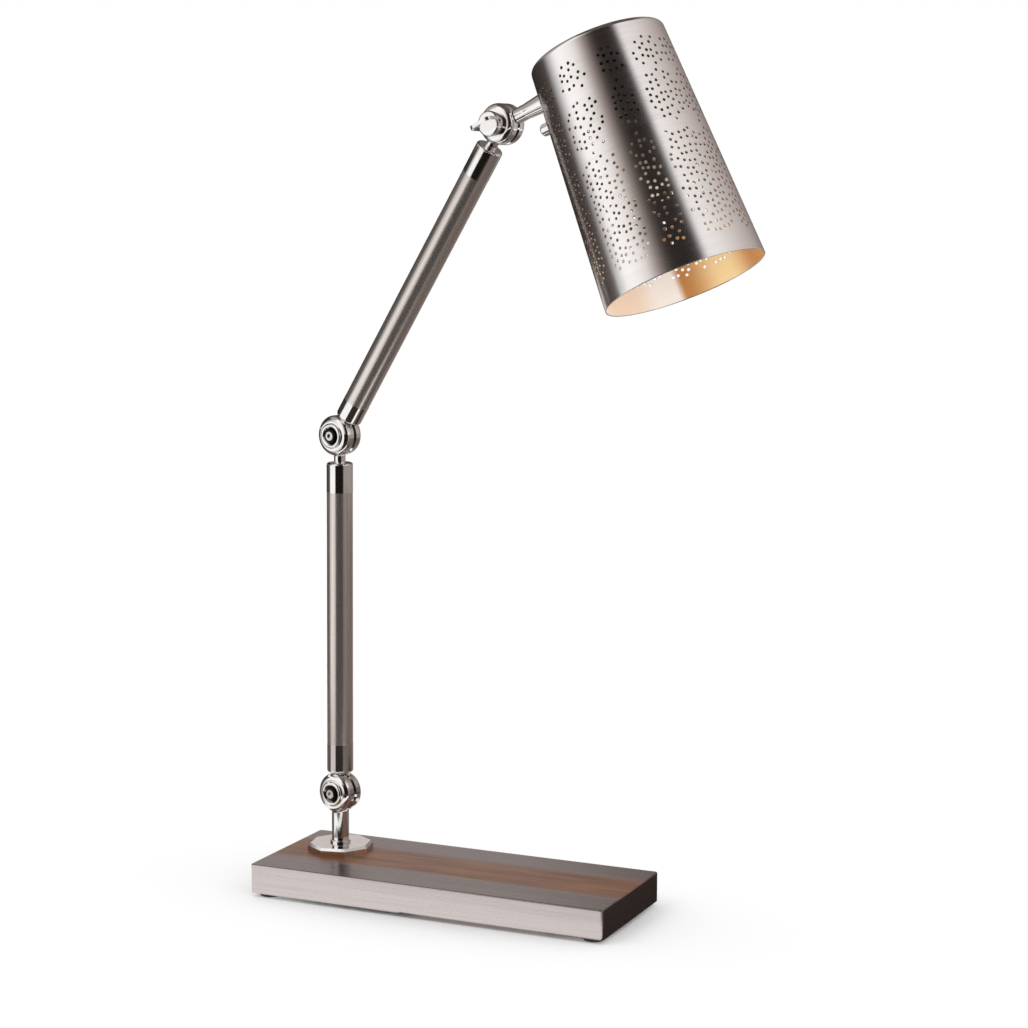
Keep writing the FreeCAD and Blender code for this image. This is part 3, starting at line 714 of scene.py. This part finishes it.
@dataclass
class PerforatedShade:
    """The tapered shade: a thin drilled cone with a closed, rounded top.

    Its bands stand at angles in degrees round its axis, and its links, the
    single holes between two patches, at depths in millimetres.
    """

    place: Matrix
    length: float = 0.1585
    top_radius: float = 0.0436
    bottom_radius: float = 0.0521
    wall: float = 0.0009
    top_round: float = 0.003
    top_steps: int = 7
    top_shares: tuple[float, ...] = (0.72, 0.45, 0.2, 0.0)
    rim_steps: int = 6
    rim_turn_in: float = 0.5
    hole_radius: float = 0.00102
    seed: int = 11
    columns: int = 160
    rows: int = 42
    stub: Hole = Hole(math.pi, 0.0129, 0.0048, 28, 0.0058)
    switch: Hole = Hole(math.pi, 0.0294, 0.0021, 20, 0.0058)
    wide_bands: tuple[float, ...] = (-88.5, -20.0, 34.3, 92.9, 151.5, 210.2)
    narrow_bands: tuple[float, ...] = (-120.5, -54.5, 5.0, 63.6, 122.2, 180.9)
    links: Pair = (36.6, 72.0)
    link_shift: float = 1.0
    jitter: float = 0.95
    start_jitter: float = 0.8
    pitch_range: Pair = (0.94, 1.06)
    size_range: Pair = (0.93, 1.07)
    seam: float = math.radians(191.0)
    seam_room: float = 0.0006
    grid_room: float = 0.0009
    compared_within: float = 0.014
    seam_tolerance: float = 1e-6
    cut_tolerance: float = 1e-8

    @property
    def slope(self) -> float:
        """Return how much the radius grows per length."""
        return (self.bottom_radius - self.top_radius) / self.length

    @property
    def around(self) -> float:
        """Return the radius at half length, which unrolls angles to lengths."""
        return self.radius(self.length / 2)

    def radius(self, depth: float) -> float:
        """Return the outer radius at a depth below the top."""
        return self.top_radius + self.slope * depth

    def outward(self, angle: float) -> Vector:
        """Return the outer wall's normal at an angle."""
        return Vector((math.cos(angle), math.sin(angle), self.slope)).normalized()

    def on_wall(self, angle: float, depth: float, inset: float = 0.0) -> Vector:
        """Return a point of the wall, inset from its outside."""
        reach = self.radius(depth) - inset
        return Vector((reach * math.cos(angle), reach * math.sin(angle), -depth))

    def _patch(self, draw: random.Random, centre: float, patch: Cluster) -> Iterator[Hole]:
        """Yield the holes of one patch: a staggered grid, each hole moved a little."""
        column_pitch = patch.pitch * math.sqrt(3) / 2
        count = int(2 * patch.half_width / column_pitch) + 2
        start = draw.uniform(-self.start_jitter, self.start_jitter) - column_pitch * count / 2
        for column in range(count + 1):
            down = -patch.half_height - draw.uniform(0.0, patch.pitch)
            if column % 2:
                down -= patch.pitch / 2
            while down < patch.half_height:
                across = start + column * column_pitch + draw.uniform(-self.jitter, self.jitter)
                along = down + draw.uniform(-self.jitter, self.jitter)
                down += patch.pitch * draw.uniform(*self.pitch_range)
                size = self.hole_radius * draw.uniform(*self.size_range)
                off_middle = (
                    abs(across / patch.half_width) ** patch.fullness
                    + abs(along / patch.half_height) ** patch.fullness
                )
                if off_middle <= 1.0:
                    depth = (patch.middle + along) * MM
                    yield Hole(centre + across * MM / self.radius(depth), depth, size)

    def holes(self) -> list[Hole]:
        """Return every hole of the wall, those for stub and switch first."""
        found = [self.stub, self.switch]
        draw = random.Random(self.seed)
        for centres, band in ((self.wide_bands, Band.WIDE), (self.narrow_bands, Band.NARROW)):
            for centre in map(math.radians, centres):
                new = [hole for patch in band.value for hole in self._patch(draw, centre, patch)]
                for link in self.links:
                    shift = math.radians(draw.uniform(-self.link_shift, self.link_shift))
                    new.append(Hole(centre + shift, link * MM, self.hole_radius))
                for hole in new:
                    if self._clear(hole, found):
                        found.append(hole)
        return found

    def _gap(self, one: Hole, other: Hole) -> float:
        """Return the distance between two holes' centres along the wall."""
        turn = (one.angle - other.angle + math.pi) % FULL_TURN - math.pi
        return math.hypot(turn * self.radius(one.depth), one.depth - other.depth)

    def _clear(self, hole: Hole, others: Sequence[Hole]) -> bool:
        """Return whether a hole keeps clear of the seam and the others."""
        seam = Hole(self.seam, hole.depth, 0.0, room=self.seam_room)
        return all(
            self._gap(hole, other) >= hole.radius + other.radius + other.room
            for other in (seam, *others)
            if abs(other.depth - hole.depth) <= self.compared_within
        )

    def _along(self, hole: Hole) -> float:
        """Return a hole's angle from the seam."""
        return (hole.angle - self.seam) % FULL_TURN

    def _grid(self, holes: Sequence[Hole]) -> Iterator[tuple[int, int, Pair]]:
        """Yield the points of the wall's grid that keep clear of the holes.

        Args:
            holes: The holes.

        Yields:
            Each point's row and column, and its place on the unrolled wall.
        """
        first, last = -self._top_rows(0.0)[0].height, self.length - self.wall / 2
        tree = KDTree(len(holes))
        for number, hole in enumerate(holes):
            tree.insert((self._along(hole) * self.around, hole.depth, 0.0), number)
        tree.balance()
        widest = self.grid_room + max(hole.radius for hole in holes)
        for row in range(self.rows + 1):
            depth = first + (last - first) * row / self.rows
            for column in range(self.columns + 1):
                spot = (FULL_TURN * column / self.columns * self.around, depth)
                in_hole = any(
                    gap < holes[number].radius + self.grid_room
                    for _, number, gap in tree.find_range((*spot, 0.0), widest)
                )
                if not in_hole or row in (0, self.rows) or column in (0, self.columns):
                    yield row, column, spot

    def _net(self) -> Net:
        """Return the unrolled wall, cut into triangles round its holes."""
        around = self.around
        holes = self.holes()
        flat: list[Vector] = []
        loops: list[list[int]] = []
        for hole in holes:
            loops.append(list(range(len(flat), len(flat) + hole.sides)))
            for side in range(hole.sides):
                turn = FULL_TURN * side / hole.sides
                angle = self._along(hole) + hole.radius * math.cos(turn) / self.radius(hole.depth)
                flat.append(Vector((angle * around, hole.depth + hole.radius * math.sin(turn))))
        edges = [edge for loop in loops for edge in zip(loop, loop[1:] + loop[:1])]
        rims: dict[int, list[int]] = {0: [], self.rows: []}
        for row, column, spot in self._grid(holes):
            if row in rims and column < self.columns:
                rims[row].append(len(flat))
            flat.append(Vector(spot))
        made = delaunay_2d_cdt(flat, edges, [], 0, self.cut_tolerance)
        spots, triangles, sources = made[0], made[2], made[3]
        given = {source: index for index, group in enumerate(sources) for source in group}
        loops, ends = (
            [[given[index] for index in group] for group in groups]
            for groups in (loops, rims.values())
        )
        hole_of = {index: number for number, loop in enumerate(loops) for index in loop}
        kept = [
            tuple(triangle)
            for triangle in triangles
            if len({hole_of.get(index, -1 - index) for index in triangle}) > 1
        ]
        return Net([(spot.x / around + self.seam, spot.y) for spot in spots], kept, loops, ends)

    def _skins(self, sheet: Sheet, net: Net) -> tuple[list[int], dict[int, int]]:
        """Add the wall's outer and inner skin, joined at the seam.

        Args:
            sheet: The mesh under way.
            net: The unrolled wall.

        Returns:
            The outer point of each point of the net, and the inner point that
            lies behind each outer one.
        """
        start = net.points[net.rims[0][0]][0]
        on_seam: dict[int, int] = {}
        outer: list[int] = []
        for angle, depth in net.points:
            along = angle - start
            if self.seam_tolerance < along < FULL_TURN - self.seam_tolerance:
                outer.append(sheet.point(self.on_wall(angle, depth)))
                continue
            mark = round(depth / self.seam_tolerance)
            if mark not in on_seam:
                on_seam[mark] = sheet.point(self.on_wall(angle, depth))
            outer.append(on_seam[mark])
        inner: dict[int, int] = {}
        for index, (angle, depth) in zip(outer, net.points):
            if index not in inner:
                inner[index] = sheet.point(self.on_wall(angle, depth, self.wall))
        for triangle in net.triangles:
            corners = [(outer[index], self.outward(net.points[index][0])) for index in triangle]
            (ax, ay), (bx, by), (cx, cy) = (net.points[index] for index in triangle)
            flip = (bx - ax) * (cy - ay) > (by - ay) * (cx - ax)
            sheet.face(corners, Side.OUTSIDE, flip)
            behind = [(inner[index], -normal) for index, normal in corners]
            sheet.face(behind, Side.INSIDE, not flip)
        return outer, inner

    def _top_rows(self, inset: float) -> list[Row]:
        """Return the rows of the rounded top edge and of the flat top.

        Args:
            inset: How far the skin lies inside the shade's outside.

        Returns:
            The rows, from the wall to the middle of the top.
        """
        corner, radius = self.top_radius - inset, self.top_round - inset
        lean = math.atan(self.slope)
        quarter = math.pi / 2 - lean
        centre = corner - radius / math.tan(lean + quarter / 2)
        turns = (lean + quarter * step / self.top_steps for step in range(self.top_steps + 1))
        flat = [Row(corner * share, -inset, 0.0, 1.0) for share in self.top_shares]
        return arc(centre, -inset - radius, radius, turns) + flat

    def build(self, outside: Material, inside: Material) -> Object:
        """Return the finished shade.

        Args:
            outside: The material of the outside, the top, the rim and the holes.
            inside: The material of the inside.

        Returns:
            The shade's object.
        """
        sheet = Sheet()
        net = self._net()
        outer, inner = self._skins(sheet, net)
        for loop in net.loops:
            edge = [outer[index] for index in loop]
            middle = sum((sheet.points[index] for index in edge), Vector()) / len(edge)
            for here, there in zip(edge, edge[1:] + edge[:1]):
                near, far = (
                    (middle - sheet.points[index]).normalized() for index in (here, there)
                )
                corners = ((there, far), (here, near), (inner[here], near), (inner[there], far))
                sheet.face(corners, Side.OUTSIDE)
        top, rim = ([outer[index] for index in ring] for ring in net.rims)
        sheet.turned(top, self._top_rows(0.0), Side.OUTSIDE, False)
        lining_rows = [replace(r, out=-r.out, up=-r.up) for r in self._top_rows(self.wall)]
        sheet.turned([inner[index] for index in top], lining_rows, Side.INSIDE, True)
        half = self.wall / 2
        turns = (-math.pi * step / self.rim_steps for step in range(self.rim_steps))
        rolled = arc(self.radius(self.length) - half, half - self.length, half, turns)
        last = sheet.turned(rim, rolled, Side.OUTSIDE, True)
        inward = (Row(0.0, 0.0, -1.0, -self.rim_turn_in), Row(0.0, 0.0, -1.0, 0.0))
        sheet.turned(last, inward, Side.OUTSIDE, True, [inner[index] for index in rim])
        LOG.info("shade: %d holes, %d faces", len(net.loops), len(sheet.faces))
        return sheet.piece("perforated_shade", self.place, (outside, inside))


# Sub-assemblies


class Slot(Enum):
    """The record's material slots."""

    SATIN = "satin_nickel"
    TUBE = "arm_tube"
    POLISHED = "polished_nickel"
    STEEL = "plain_steel"
    IRON = "ballast_iron"
    RUBBER = "black_rubber"
    PLASTIC = "socket_plastic"
    CAP = "bulb_cap"
    GLASS = "bulb_glass"


def dress(finish: Finish, slot: Slot, *nodes: str) -> None:
    """Give CAD nodes their finish.

    Args:
        finish: The finish.
        slot: The material slot that it stands for; not used.
        nodes: The nodes' names.
    """
    material = finish.material()
    for node in nodes:
        piece = frame["nodes"][node]
        piece.data.materials.clear()
        piece.data.materials.append(material)
        LOG.info("%s wears %s", node, material.name)


@dataclass
class LampFrame:
    """The lamp's own axes: how each arm and the head stand as packed."""

    swivel: float = math.radians(-12.2)
    lower_lean: float = math.radians(0.35)
    upper_lean: float = math.radians(33.5)
    head_tilt: float = math.radians(25.1)
    shade_axis: float = 0.0852
    shade_top: float = 0.0107

    def at(self, joint: str, lean: float = 0.0) -> Place:
        """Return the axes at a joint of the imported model, leaning about y."""
        pivot = next(each["pos_m"] for each in frame["joints"] if each["name"] == joint)
        return Place(tuple(pivot), self.swivel, lean)

    def shade(self) -> Place:
        """Return the shade's axes, its own axis along z and its top at height 0."""
        head = self.at("head_tilt", -self.head_tilt)
        top = head.matrix() @ Vector((self.shade_axis, 0.0, self.shade_top))
        return replace(head, origin=tuple(top))


@dataclass
class Base:
    """The weighted base, its feet and what is inside it."""

    sheet: Finish = BandedBase(
        "base_brushed_sheet", (0.64, 0.575, 0.56), 0.27, shade=(0.5, 0.445, 0.43),
        grain=(14.0, 900.0, 900.0), depth=0.000006,
    )
    feet: Finish = Moulded("foot_rubber", (0.018, 0.017, 0.017), 0.62, light=(0.04, 0.038, 0.036))
    ballast: Finish = Moulded(
        "ballast_cast_iron", (0.1, 0.1, 0.105), 0.6, light=(0.2, 0.19, 0.18),
        metallic=0.8, pebbles=420.0, depth=0.0002,
    )
    steel: Finish = BrushedMetal(
        "zinc_plated_steel", (0.58, 0.58, 0.6), 0.34, shade=(0.42, 0.42, 0.44),
        grain=(300.0, 300.0, 300.0),
    )
    inlet: Finish = Moulded("inlet_plastic", (0.03, 0.03, 0.03), 0.45, light=(0.06, 0.06, 0.06))

    def build(self) -> None:
        """Dress the base's pieces."""
        dress(self.sheet, Slot.SATIN, "base_cover")
        dress(self.feet, Slot.RUBBER, "base_feet")
        dress(self.ballast, Slot.IRON, "base_ballast")
        dress(self.inlet, Slot.PLASTIC, "base_cord_inlet")
        inner = ("base_bottom_plate", "base_posts", "base_cover_screws", "stem_washer", "stem_nut")
        dress(self.steel, Slot.STEEL, *inner)


@dataclass(frozen=True)
class Clamp:
    """A pivot's screw and cup: its joint, the cup's bowl and the bowl's painted shade colour."""

    name: str
    joint: str
    bowl: float
    dark: Colour


@dataclass
class Fittings:
    """The polished pieces: flange, stem, knuckles, collars and screws."""

    axes: LampFrame
    polished: Finish = PolishedMetal("polished_nickel", (0.93, 0.915, 0.905), 0.07)
    washer: Finish = Moulded("friction_fibre", (0.05, 0.045, 0.04), 0.7, light=(0.09, 0.08, 0.07))
    clamps: tuple[Clamp, ...] = (
        # Each clamp's colour is the painted shade in its cup washer's bowl.
        Clamp("pivot_1", "lower_arm_tilt", 0.006, (0.2, 0.165, 0.145)),
        Clamp("pivot_2", "upper_arm_tilt", 0.0054, (0.05, 0.045, 0.042)),
    )
    screw: BlackenedAndPaintedShade = BlackenedAndPaintedShade("screw_head", (0.035, 0.033, 0.032), 0.24)
    cup_roughness: float = 0.12
    lip: float = 1.12
    single: tuple[str, ...] = (
        "stem_flange", "stem_bushing", "stem_tube", "stem_knuckle", "head_knuckle",
        "head_flare", "thumb_screw", "switch_knob",
    )
    on_arms: tuple[str, ...] = ("knuckle_bottom", "knuckle_top", "collar_bottom", "collar_top")
    thin: tuple[str, ...] = ("pivot_1_friction_washer", "pivot_2_friction_washer", "head_washer")

    def build(self) -> None:
        """Dress the polished pieces and the friction washers."""
        pairs = [f"{arm}_{piece}" for arm in ("lower", "upper") for piece in self.on_arms]
        dress(self.polished, Slot.POLISHED, *self.single, *pairs)
        dress(self.washer, Slot.PLASTIC, *self.thin)
        for clamp in self.clamps:
            screw = replace(
                self.screw, name=clamp.name + "_screw_head", place=self.axes.at(clamp.joint)
            )
            dress(screw, Slot.POLISHED, clamp.name + "_screw")
            # Painted shade: each cup washer is coloured dark inside its bowl's radius.
            cup = replace(
                screw, name=clamp.name + "_cup_bowl", colour=clamp.dark,
                roughness=self.cup_roughness, bare=self.polished.colour,
                bare_at=clamp.bowl * self.lip, black_at=clamp.bowl,
            )
            dress(cup, Slot.POLISHED, clamp.name + "_cup_washer")


@dataclass
class Arms:
    """The two brown brushed tubes and the rods inside them."""

    axes: LampFrame
    tube: BrushedMetal = BrushedMetal(
        "tube_brown", (0.82, 0.755, 0.715), 0.25, shade=(0.6, 0.52, 0.475),
        grain=(1300.0, 1300.0, 9.0), spread=0.08, streak=0.9, depth=0.000006, metallic=0.93,
    )
    rod: BrushedMetal = BrushedMetal(
        "rod_steel", (0.55, 0.55, 0.56), 0.36, shade=(0.42, 0.42, 0.43)
    )

    def build(self) -> None:
        """Dress both tubes and their rods, each brushed along its own length."""
        leans = (("lower", self.axes.lower_lean), ("upper", self.axes.upper_lean))
        for arm, lean in leans:
            place = self.axes.at(arm + "_arm_tilt", lean)
            tube, rod = (
                replace(finish, name=f"{arm}_{finish.name}", place=place)
                for finish in (self.tube, self.rod)
            )
            dress(tube, Slot.TUBE, arm + "_tube")
            dress(rod, Slot.STEEL, arm + "_tie_rod")


@dataclass
class Head:
    """The shade with its lamp holder, bulb and switch."""

    axes: LampFrame
    outside: BrushedMetal = BrushedMetal(
        "shade_satin_nickel", (0.95, 0.925, 0.91), 0.2, shade=(0.84, 0.795, 0.77),
        grain=(45.0, 45.0, 1500.0), spread=0.06, streak=0.6, depth=0.000003,
    )
    lining: GoldWash = GoldWash(
        "shade_warm_lining", (1.0, 0.76, 0.4), 0.34, shade=(0.97, 0.66, 0.3),
        grain=(40.0, 40.0, 900.0), spread=0.08, streak=0.6, depth=0.000003, metallic=0.15,
    )
    plastic: Finish = Moulded(
        "holder_plastic", (0.03, 0.029, 0.028), 0.42, light=(0.055, 0.052, 0.05)
    )
    cap: Finish = PolishedMetal("bulb_aluminium", (0.72, 0.71, 0.7), 0.28, haze=0.12)
    glass: Finish = FrostedGlass("bulb_opal_glass", (0.93, 0.91, 0.86), 0.32)
    steel: Finish = BrushedMetal(
        "holder_steel", (0.6, 0.6, 0.61), 0.33, shade=(0.45, 0.45, 0.46),
        grain=(300.0, 300.0, 300.0),
    )

    def build(self) -> None:
        """Dress the inner pieces and build the drilled shade."""
        place = self.axes.shade()
        skins = (replace(finish, place=place).material() for finish in (self.outside, self.lining))
        shade = PerforatedShade(place.matrix()).build(*skins)
        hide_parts("shade")
        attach(shade, "head")
        dress(self.plastic, Slot.PLASTIC, "socket_cap", "socket_shell", "switch_body")
        dress(self.steel, Slot.STEEL, "head_nut", "socket_nut", "socket_bracket")
        dress(self.cap, Slot.CAP, "bulb_base")
        dress(self.glass, Slot.GLASS, "bulb_glass")


# Studio

# Where the rings of cards have their middles, and tones that several share.
STEM = (-0.0935, 0.0125)
SHADE = (0.13, -0.05)
BACK_LEFT = ((-55, 0.2), (-42, 0.4), (-12, 0.4))
FRONT = ((-180, 0.06), (-172, 0.22), (-164, 0.46), (-156, 0.78), (-146, 0.92))
RIGHT = ((60, 0.6), (100, 0.84), (122, 0.92), (133, 0.02), (172, 0.02), (180, 0.06))


@dataclass
class PhotoCamera:
    """The camera, where the photograph was taken from."""

    place: Triple = (0.70047, -1.46148, 0.48451)
    yaw: float = 0.42198
    pitch: float = -0.13406
    roll: float = 0.00338
    lens: float = 85.826
    sensor: float = 36.0
    sight: float = 60.0

    def build(self) -> None:
        """Make the camera and set it as the scene's."""
        data = bpy.data.cameras.new("camera")
        data.sensor_fit = "HORIZONTAL"
        data.sensor_width = self.sensor
        data.lens = self.lens
        data.clip_end = self.sight
        camera = shown("camera", data)
        turn = Euler((math.pi / 2 + self.pitch, 0.0, self.yaw)).to_matrix().to_4x4()
        roll = Matrix.Rotation(self.roll, 4, "Z")
        camera.matrix_world = Matrix.Translation(self.place) @ turn @ roll
        bpy.context.scene.camera = camera


def warm(tone: float, green_loss: float = 0.22, blue_loss: float = 0.3) -> Colour:
    """Return a grey of a studio card, the darker the warmer."""
    dark = 1.0 - tone
    return (tone, tone * (1.0 - green_loss * dark), tone * (1.0 - blue_loss * dark))


def reflected(
    name: str,
    spots: Sequence[Vector],
    faces: Sequence[Face],
    shares: Sequence[float],
    stops: Sequence[Pair],
) -> None:
    """Make a piece of the studio that only shiny surfaces see.

    Args:
        name: Its name.
        spots: Its points.
        faces: Its faces.
        shares: For each corner of each face, the place in the ramp of tones.
        stops: The ramp: (place, tone), in rising order.
    """
    mesh = mesh_of(name, spots, faces)
    layer = mesh.uv_layers.new(name="across")
    for loop, share in zip(layer.data, shares):
        loop.uv = (share, 0.5)
    made = bpy.data.materials.new(name)
    graph = Graph(made)
    across = graph.parts(graph.node("ShaderNodeTexCoord", {}, {}, "UV"))[0]
    ramp = {"stops": [(place, warm(tone)) for place, tone in stops]}
    tones = graph.node("ShaderNodeValToRGB", ramp, {0: across})
    graph.finish(graph.node("ShaderNodeEmission", {}, {"Color": tones}))
    mesh.materials.append(made)
    piece = shown(name, mesh)
    piece.visible_camera = False
    piece.visible_diffuse = False
    piece.visible_transmission = False
    piece.visible_shadow = False


@dataclass(frozen=True)
class Ring:
    """A ring of studio cards round the lamp.

    Its rims are (radius, height) pairs from its low edge to its high one. Its
    tones are given by compass direction in degrees: 0 is +Y, 90 is +X, and the
    first and last tone carry on to the back, at 180.
    """

    name: str
    middle: Pair
    rims: tuple[Pair, Pair]
    tones: tuple[Pair, ...]
    segments: int = 120

    def build(self) -> None:
        """Make the ring."""
        spots, faces, shares = [], [], []
        for number in range(self.segments + 1):
            turn = FULL_TURN * (number / self.segments - 0.5)
            for radius, height in self.rims:
                across = self.middle[0] + radius * math.sin(turn)
                along = self.middle[1] + radius * math.cos(turn)
                spots.append(Vector((across, along, height)))
        for number in range(self.segments):
            first = 2 * number
            faces.append((first, first + 2, first + 3, first + 1))
            shares += [(number + end) / self.segments for end in (0, 1, 1, 0)]
        stops = [(bearing / 360 + 0.5, tone) for bearing, tone in self.tones]
        reflected(self.name, spots, faces, shares, stops)


@dataclass(frozen=True)
class FloorCard:
    """A card that lies on the floor, its tones running along +X."""

    name: str
    low: Pair
    high: Pair
    tones: Pair
    height: float = 0.003

    def build(self) -> None:
        """Make the card."""
        spots = rectangle(self.low, self.high, self.height)
        stops = tuple(zip((0.0, 1.0), self.tones))
        reflected(self.name, spots, [(0, 1, 2, 3)], [0.0, 1.0, 1.0, 0.0], stops)


@dataclass(frozen=True)
class SoftLamp:
    """A soft round lamp that makes no glint of its own."""

    name: str
    place: Triple
    size: float
    power: float
    aim: Triple = (0.0, 0.0, 0.2)

    def build(self) -> None:
        """Make the lamp."""
        data = bpy.data.lights.new(self.name, "AREA")
        data.shape = "DISK"
        data.size = self.size
        data.energy = self.power
        lamp = shown(self.name, data)
        lamp.location = self.place
        toward = Vector(self.aim) - Vector(self.place)
        lamp.rotation_euler = toward.to_track_quat("-Z", "Y").to_euler()
        lamp.visible_glossy = False


CARDS = (
    Ring("ring_floor_near", STEM, ((0.1, 0.002), (0.19, 0.0022)), (
        (-168, 0.03), (-164, 1.0), (-118, 1.0), (-112, 0.12), (-75, 0.12), *BACK_LEFT, (5, 0.25),
        (45, 0.16), (68, 0.2), (80, 0.3), (118, 0.42), (126, 0.35), (130, 0.03),
    )),
    Ring("ring_floor_middle", STEM, ((0.19, 0.0022), (0.31, 0.0024)), (
        (-180, 0.03), (-146, 0.04), (-138, 0.62), (-120, 0.62), (-114, 0.1), (-75, 0.12),
        *BACK_LEFT, (5, 0.2), (45, 0.12), (80, 0.18), (118, 0.22), (126, 0.18), (130, 0.03),
    )),
    Ring("ring_floor_far", STEM, ((0.31, 0.0024), (0.6, 0.0028)), (
        (-168, 0.03), (-164, 0.62), (-120, 0.62), (-114, 0.1), (-75, 0.12), *BACK_LEFT, (5, 0.25),
        (45, 0.13), (80, 0.15), (118, 0.17), (126, 0.15), (130, 0.03),
    )),
    Ring("ring_low", STEM, ((0.6, 0.0028), (0.6, 0.18)), (
        (-170, 0.01), (-166, 1.0), (-118, 1.0), (-112, 0.14), (-75, 0.05), (-49, 0.06),
        (-41, 0.62), (-12, 0.62), (5, 0.24), (30, 0.14), (60, 0.16), (90, 0.22), (112, 0.26),
        (118, 0.22), (126, 0.01),
    )),
    Ring("ring_waist", STEM, ((0.6, 0.18), (0.6, 0.34)), (
        (-170, 0.01), (-166, 1.0), (-118, 1.0), (-112, 0.12), (-75, 0.05), (-49, 0.06), (-41, 0.6),
        (-12, 0.62), (5, 0.28), (30, 0.3), (60, 0.34), (90, 0.32), (112, 0.34), (118, 0.28),
        (126, 0.01),
    )),
    Ring("ring_middle", SHADE, ((0.62, 0.34), (0.62, 0.64)), (
        *FRONT, (-132, 1.0), (-122, 1.0), (-98, 0.05), (-35, 0.02), (-10, 0.18), (12, 0.28),
        *RIGHT,
    )),
    Ring("ring_high", SHADE, ((0.62, 0.64), (0.62, 1.35)), (
        *FRONT, (-132, 1.0), (-125, 1.0), (-112, 0.42), (-85, 0.38), (-60, 0.1), (-35, 0.02),
        (-10, 0.2), (12, 0.3), *RIGHT,
    )),
    Ring("ring_top", SHADE, ((0.62, 1.35), (0.02, 1.36)), ((-180, 0.1), (180, 0.1))),
    FloorCard("card_front", (-0.16, -0.15), (0.16, -0.052), (1.0, 1.0)),
    FloorCard("card_right", (0.115, -0.05), (0.21, 0.22), (0.03, 0.035)),
)


@dataclass
class Studio:
    """Floor, white background, soft lamps and reflection cards."""

    floor_size: float = 12.0
    floor_tone: float = 0.95
    mottle: float = 0.02
    mottle_marks: float = 30.0
    floor_form: Triple = (0.5, 1.0, 1.0)
    fade_over: Pair = (0.05, 0.13)
    fill: float = 0.82
    lamps: tuple[SoftLamp, ...] = (
        SoftLamp("key", (-0.9, -1.1, 1.7), 1.2, 9.0),
        SoftLamp("fill", (1.5, -0.6, 1.2), 1.4, 4.0),
    )
    cards: tuple[Union[Ring, FloorCard], ...] = CARDS

    def _world(self) -> None:
        """Make the white surroundings, which light the lamp a little less."""
        world = bpy.data.worlds.new("studio")
        bpy.context.scene.world = world
        graph = Graph(world)
        strength = graph.background_rays() * (1.0 - self.fill) + self.fill
        inputs = {"Color": WHITE, "Strength": strength}
        graph.finish(graph.node("ShaderNodeBackground", {}, inputs))

    def _floor(self) -> None:
        """Make the pale floor, which turns into the background far out."""
        half = self.floor_size / 2
        mesh = mesh_of("floor", rectangle((-half, -half), (half, half)), [(0, 1, 2, 3)])
        made = bpy.data.materials.new("floor_paper")
        graph = Graph(made)
        point = Place().within(graph)
        reach = graph.length(graph.stretched(point, self.floor_form))
        mottle = graph.noise(point, self.mottle_marks)
        light = self.floor_tone + self.mottle
        tone = graph.blend(mottle, (self.floor_tone,) * 3, (light,) * 3)
        paper = graph.node("ShaderNodeBsdfDiffuse", {}, {"Color": tone})
        glow = graph.node("ShaderNodeEmission", {}, {"Color": WHITE})
        far = graph.background_rays() * reach.step(*self.fade_over)
        graph.finish(graph.node("ShaderNodeMixShader", {}, {0: far, 1: paper, 2: glow}))
        mesh.materials.append(made)
        shown("floor", mesh)

    def build(self) -> None:
        """Make the whole studio."""
        bpy.context.scene.view_settings.view_transform = "Standard"
        self._world()
        self._floor()
        for piece in self.lamps + self.cards:
            piece.build()


def main() -> None:
    """Build the lamp's looks and its studio."""
    logging.basicConfig(level=logging.INFO, format="%(name)s: %(message)s")
    PhotoCamera().build()
    axes = LampFrame()
    for part in (Base(), Fittings(axes), Arms(axes), Head(axes), Studio()):
        part.build()
        LOG.info("%s done", type(part).__name__)


if __name__ == "__main__":
    main()
